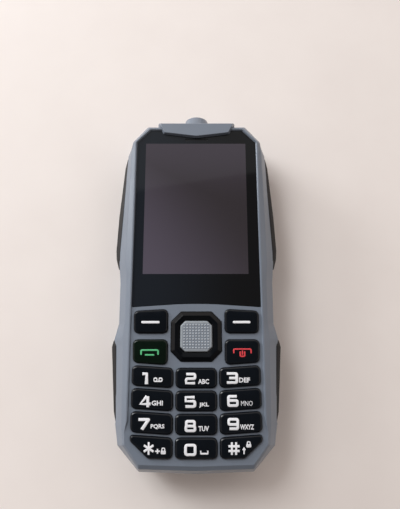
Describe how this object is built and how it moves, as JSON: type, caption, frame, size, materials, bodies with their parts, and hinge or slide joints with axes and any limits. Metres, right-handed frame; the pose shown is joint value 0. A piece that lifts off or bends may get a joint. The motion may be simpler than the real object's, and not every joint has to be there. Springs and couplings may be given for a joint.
{
  "type": "mobile phone",
  "caption": "Bar phone with a beveled housing, rubber side grips, display window, sprung keypad with rocker, end torch and sliding rear cover.",
  "frame": {"origin": "under the middle of the body, on the plane that the back rests on", "axes": "+X to the right seen from the front, +Y to the torch end, +Z out of the screen"},
  "size_m": [0.0584, 0.1258, 0.0182],
  "materials": {
    "housing_plastic": "fine satin texture, blue-grey",
    "grip_rubber": "matt",
    "key_gloss": "polished, printed legends",
    "key_grey": "satin with a dot pattern",
    "window_black": "polished hard-coated",
    "clear_plastic": "clear",
    "camera_glass": "polished",
    "adhesive_foam": "matt",
    "mesh_metal": "fine mesh",
    "steel": "bright stamped",
    "black_plastic": "moulded",
    "display_glass": "polished, switched off",
    "polyimide": "thin amber film",
    "circuit_board": "solder resist",
    "silicone": "translucent grey",
    "battery_cell": "wrapped can",
    "led_white": "package with phosphor",
    "microphone_metal": "plain can"
  },
  "bodies": {
    "housing": {"front_housing": "housing_plastic", "rear_housing": "housing_plastic", "torch_cap": "housing_plastic", "right_upper_grip": "grip_rubber", "right_lower_grip": "grip_rubber", "left_upper_grip": "grip_rubber", "left_lower_grip": "grip_rubber", "display_window": "window_black", "torch_lens": "clear_plastic", "camera_window": "camera_glass", "window_gasket": "adhesive_foam", "earpiece_mesh": "mesh_metal", "housing_screws": "steel", "shield_can": "steel", "sim_holder_left": "steel", "sim_holder_right": "steel", "memory_card_holder": "steel", "usb_connector": "steel", "vibration_motor": "steel", "earpiece": "black_plastic", "loudspeaker": "black_plastic", "camera_module": "black_plastic", "headset_jack": "black_plastic", "battery_contacts": "black_plastic", "antenna_carrier": "black_plastic", "display_frame": "black_plastic", "display_module": "display_glass", "display_flex": "polyimide", "dome_sheet": "polyimide", "main_board": "circuit_board", "keymat": "silicone", "battery": "battery_cell", "torch_led": "led_white", "microphone": "microphone_metal"},
    "rear_cover": {"rear_cover": "housing_plastic"},
    "nav_web": {"nav_pad": "silicone"},
    "nav_ring": {"nav_ring": "key_gloss"},
    "ok_key": {"ok_key": "key_grey"},
    "key_soft_left": {"key_soft_left": "key_gloss"},
    "key_soft_right": {"key_soft_right": "key_gloss"},
    "key_call": {"key_call": "key_gloss"},
    "key_end": {"key_end": "key_gloss"},
    "key_1": {"key_1": "key_gloss"},
    "key_2": {"key_2": "key_gloss"},
    "key_3": {"key_3": "key_gloss"},
    "key_4": {"key_4": "key_gloss"},
    "key_5": {"key_5": "key_gloss"},
    "key_6": {"key_6": "key_gloss"},
    "key_7": {"key_7": "key_gloss"},
    "key_8": {"key_8": "key_gloss"},
    "key_9": {"key_9": "key_gloss"},
    "key_star": {"key_star": "key_gloss"},
    "key_0": {"key_0": "key_gloss"},
    "key_hash": {"key_hash": "key_gloss"}
  },
  "joints": [
    {"name": "rear_cover_slide", "type": "slide", "parent": "housing", "child": "rear_cover", "axis": [0, -1, 0], "range_m": [0, 0.006]},
    {"name": "ok_key_press", "type": "slide", "parent": "housing", "child": "ok_key", "axis": [0, 0, -1], "range_m": [0, 0.00035], "stiffness_N_per_m": 1500, "springref_m": -0.0006},
    {"name": "key_soft_left_press", "type": "slide", "parent": "housing", "child": "key_soft_left", "axis": [0, 0, -1], "range_m": [0, 0.00035], "stiffness_N_per_m": 1500, "springref_m": -0.0006},
    {"name": "key_soft_right_press", "type": "slide", "parent": "housing", "child": "key_soft_right", "axis": [0, 0, -1], "range_m": [0, 0.00035], "stiffness_N_per_m": 1500, "springref_m": -0.0006},
    {"name": "key_call_press", "type": "slide", "parent": "housing", "child": "key_call", "axis": [0, 0, -1], "range_m": [0, 0.00035], "stiffness_N_per_m": 1500, "springref_m": -0.0006},
    {"name": "key_end_press", "type": "slide", "parent": "housing", "child": "key_end", "axis": [0, 0, -1], "range_m": [0, 0.00035], "stiffness_N_per_m": 1500, "springref_m": -0.0006},
    {"name": "key_1_press", "type": "slide", "parent": "housing", "child": "key_1", "axis": [0, 0, -1], "range_m": [0, 0.00035], "stiffness_N_per_m": 1500, "springref_m": -0.0006},
    {"name": "key_2_press", "type": "slide", "parent": "housing", "child": "key_2", "axis": [0, 0, -1], "range_m": [0, 0.00035], "stiffness_N_per_m": 1500, "springref_m": -0.0006},
    {"name": "key_3_press", "type": "slide", "parent": "housing", "child": "key_3", "axis": [0, 0, -1], "range_m": [0, 0.00035], "stiffness_N_per_m": 1500, "springref_m": -0.0006},
    {"name": "key_4_press", "type": "slide", "parent": "housing", "child": "key_4", "axis": [0, 0, -1], "range_m": [0, 0.00035], "stiffness_N_per_m": 1500, "springref_m": -0.0006},
    {"name": "key_5_press", "type": "slide", "parent": "housing", "child": "key_5", "axis": [0, 0, -1], "range_m": [0, 0.00035], "stiffness_N_per_m": 1500, "springref_m": -0.0006},
    {"name": "key_6_press", "type": "slide", "parent": "housing", "child": "key_6", "axis": [0, 0, -1], "range_m": [0, 0.00035], "stiffness_N_per_m": 1500, "springref_m": -0.0006},
    {"name": "key_7_press", "type": "slide", "parent": "housing", "child": "key_7", "axis": [0, 0, -1], "range_m": [0, 0.00035], "stiffness_N_per_m": 1500, "springref_m": -0.0006},
    {"name": "key_8_press", "type": "slide", "parent": "housing", "child": "key_8", "axis": [0, 0, -1], "range_m": [0, 0.00035], "stiffness_N_per_m": 1500, "springref_m": -0.0006},
    {"name": "key_9_press", "type": "slide", "parent": "housing", "child": "key_9", "axis": [0, 0, -1], "range_m": [0, 0.00035], "stiffness_N_per_m": 1500, "springref_m": -0.0006},
    {"name": "key_star_press", "type": "slide", "parent": "housing", "child": "key_star", "axis": [0, 0, -1], "range_m": [0, 0.00035], "stiffness_N_per_m": 1500, "springref_m": -0.0006},
    {"name": "key_0_press", "type": "slide", "parent": "housing", "child": "key_0", "axis": [0, 0, -1], "range_m": [0, 0.00035], "stiffness_N_per_m": 1500, "springref_m": -0.0006},
    {"name": "key_hash_press", "type": "slide", "parent": "housing", "child": "key_hash", "axis": [0, 0, -1], "range_m": [0, 0.00035], "stiffness_N_per_m": 1500, "springref_m": -0.0006},
    {"name": "nav_tilt_x", "type": "hinge", "parent": "housing", "child": "nav_web", "pos_m": [0, -0.0192, 0.0147], "axis": [1, 0, 0], "range_deg": [-2, 2], "stiffness_Nm_per_rad": 0.3},
    {"name": "nav_tilt_y", "type": "hinge", "parent": "nav_web", "child": "nav_ring", "pos_m": [0, -0.0192, 0.0147], "axis": [0, 1, 0], "range_deg": [-2, 2], "stiffness_Nm_per_rad": 0.3}
  ]
}
